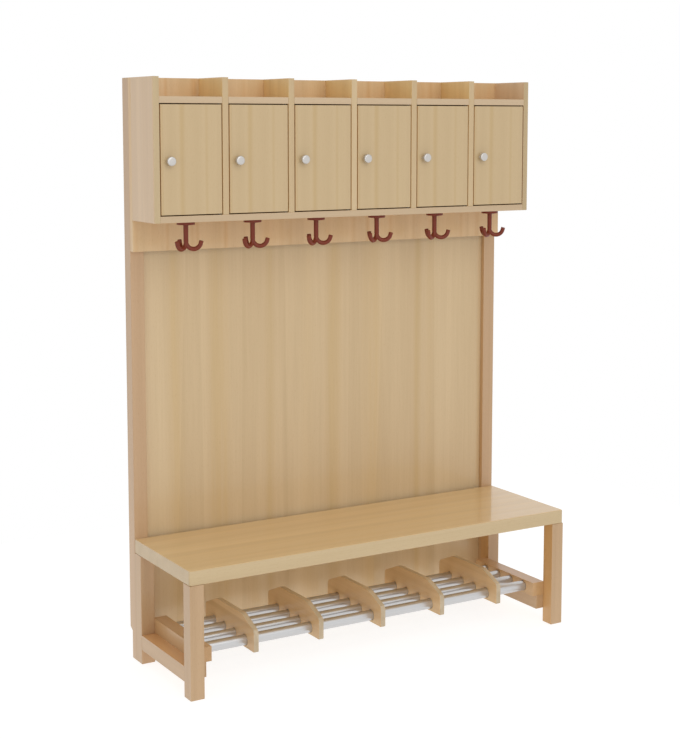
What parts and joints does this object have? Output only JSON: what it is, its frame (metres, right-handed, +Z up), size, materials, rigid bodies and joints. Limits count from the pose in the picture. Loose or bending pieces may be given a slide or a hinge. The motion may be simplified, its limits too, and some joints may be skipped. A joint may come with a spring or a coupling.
{
  "type": "cloakroom locker unit",
  "caption": "Free-standing wooden cloakroom unit with small lockers under open bins, triple coat hooks, a back panel and a bench over a shoe rack.",
  "frame": {"origin": "on the floor, at the middle of the width and of the depth", "axes": "+Z up, -Y towards the user who faces the doors, +X to the right of that user"},
  "size_m": [1.236, 0.4, 1.63],
  "materials": {
    "post_beech": "clear satin lacquer on pale beech",
    "panel_beech": "clear satin lacquer on beech-faced board",
    "front_beech": "clear satin lacquer on pale beech",
    "seat_beech": "clear glossy lacquer on beech",
    "rack_beech": "clear satin lacquer on beech",
    "satin_metal": "satin",
    "zinc_metal": "bright zinc plate",
    "red_enamel": "smooth dark red-brown coating",
    "grey_enamel": "smooth light grey coating"
  },
  "bodies": {
    "frame": {"post_left": "post_beech", "post_right": "post_beech", "back_panel": "panel_beech", "cabinet_back_board": "panel_beech", "cabinet_side_left": "post_beech", "cabinet_side_right": "post_beech", "cabinet_bottom": "front_beech", "cabinet_shelf": "front_beech", "locker_divider_1": "front_beech", "locker_divider_2": "front_beech", "locker_divider_3": "front_beech", "locker_divider_4": "front_beech", "locker_divider_5": "front_beech", "coat_hook_1": "red_enamel", "coat_hook_2": "red_enamel", "coat_hook_3": "red_enamel", "coat_hook_4": "red_enamel", "coat_hook_5": "red_enamel", "coat_hook_6": "red_enamel", "bench_seat": "seat_beech", "bench_leg_front_left": "front_beech", "bench_leg_back_left": "front_beech", "bench_stretcher_left": "rack_beech", "rack_rail_left": "rack_beech", "bench_leg_front_right": "front_beech", "bench_leg_back_right": "front_beech", "bench_stretcher_right": "rack_beech", "rack_rail_right": "rack_beech", "shoe_tube_1": "grey_enamel", "shoe_tube_2": "grey_enamel", "shoe_tube_3": "grey_enamel", "shoe_stop_tube": "grey_enamel", "shoe_divider_1": "rack_beech", "shoe_divider_2": "rack_beech", "shoe_divider_3": "rack_beech", "shoe_divider_4": "rack_beech", "shoe_divider_5": "rack_beech", "leg_bolt_left": "zinc_metal", "board_bolt_left": "zinc_metal", "leg_bolt_right": "zinc_metal", "board_bolt_right": "zinc_metal"},
    "door_leaf_1": {"door_1": "front_beech", "door_knob_1": "satin_metal", "door_pivot_rod_1": "zinc_metal"},
    "door_leaf_2": {"door_2": "front_beech", "door_knob_2": "satin_metal", "door_pivot_rod_2": "zinc_metal"},
    "door_leaf_3": {"door_3": "front_beech", "door_knob_3": "satin_metal", "door_pivot_rod_3": "zinc_metal"},
    "door_leaf_4": {"door_4": "front_beech", "door_knob_4": "satin_metal", "door_pivot_rod_4": "zinc_metal"},
    "door_leaf_5": {"door_5": "front_beech", "door_knob_5": "satin_metal", "door_pivot_rod_5": "zinc_metal"},
    "door_leaf_6": {"door_6": "front_beech", "door_knob_6": "satin_metal", "door_pivot_rod_6": "zinc_metal"}
  },
  "joints": [
    {"name": "door_hinge_1", "type": "hinge", "parent": "frame", "child": "door_leaf_1", "pos_m": [-0.424, 0.001, 1.4105], "axis": [0, 0, 1], "range_deg": [0, 105]},
    {"name": "door_hinge_2", "type": "hinge", "parent": "frame", "child": "door_leaf_2", "pos_m": [-0.221, 0.001, 1.4105], "axis": [0, 0, 1], "range_deg": [0, 105]},
    {"name": "door_hinge_3", "type": "hinge", "parent": "frame", "child": "door_leaf_3", "pos_m": [-0.018, 0.001, 1.4105], "axis": [0, 0, 1], "range_deg": [0, 105]},
    {"name": "door_hinge_4", "type": "hinge", "parent": "frame", "child": "door_leaf_4", "pos_m": [0.185, 0.001, 1.4105], "axis": [0, 0, 1], "range_deg": [0, 105]},
    {"name": "door_hinge_5", "type": "hinge", "parent": "frame", "child": "door_leaf_5", "pos_m": [0.388, 0.001, 1.4105], "axis": [0, 0, 1], "range_deg": [0, 105]},
    {"name": "door_hinge_6", "type": "hinge", "parent": "frame", "child": "door_leaf_6", "pos_m": [0.591, 0.001, 1.4105], "axis": [0, 0, 1], "range_deg": [0, 105]}
  ]
}
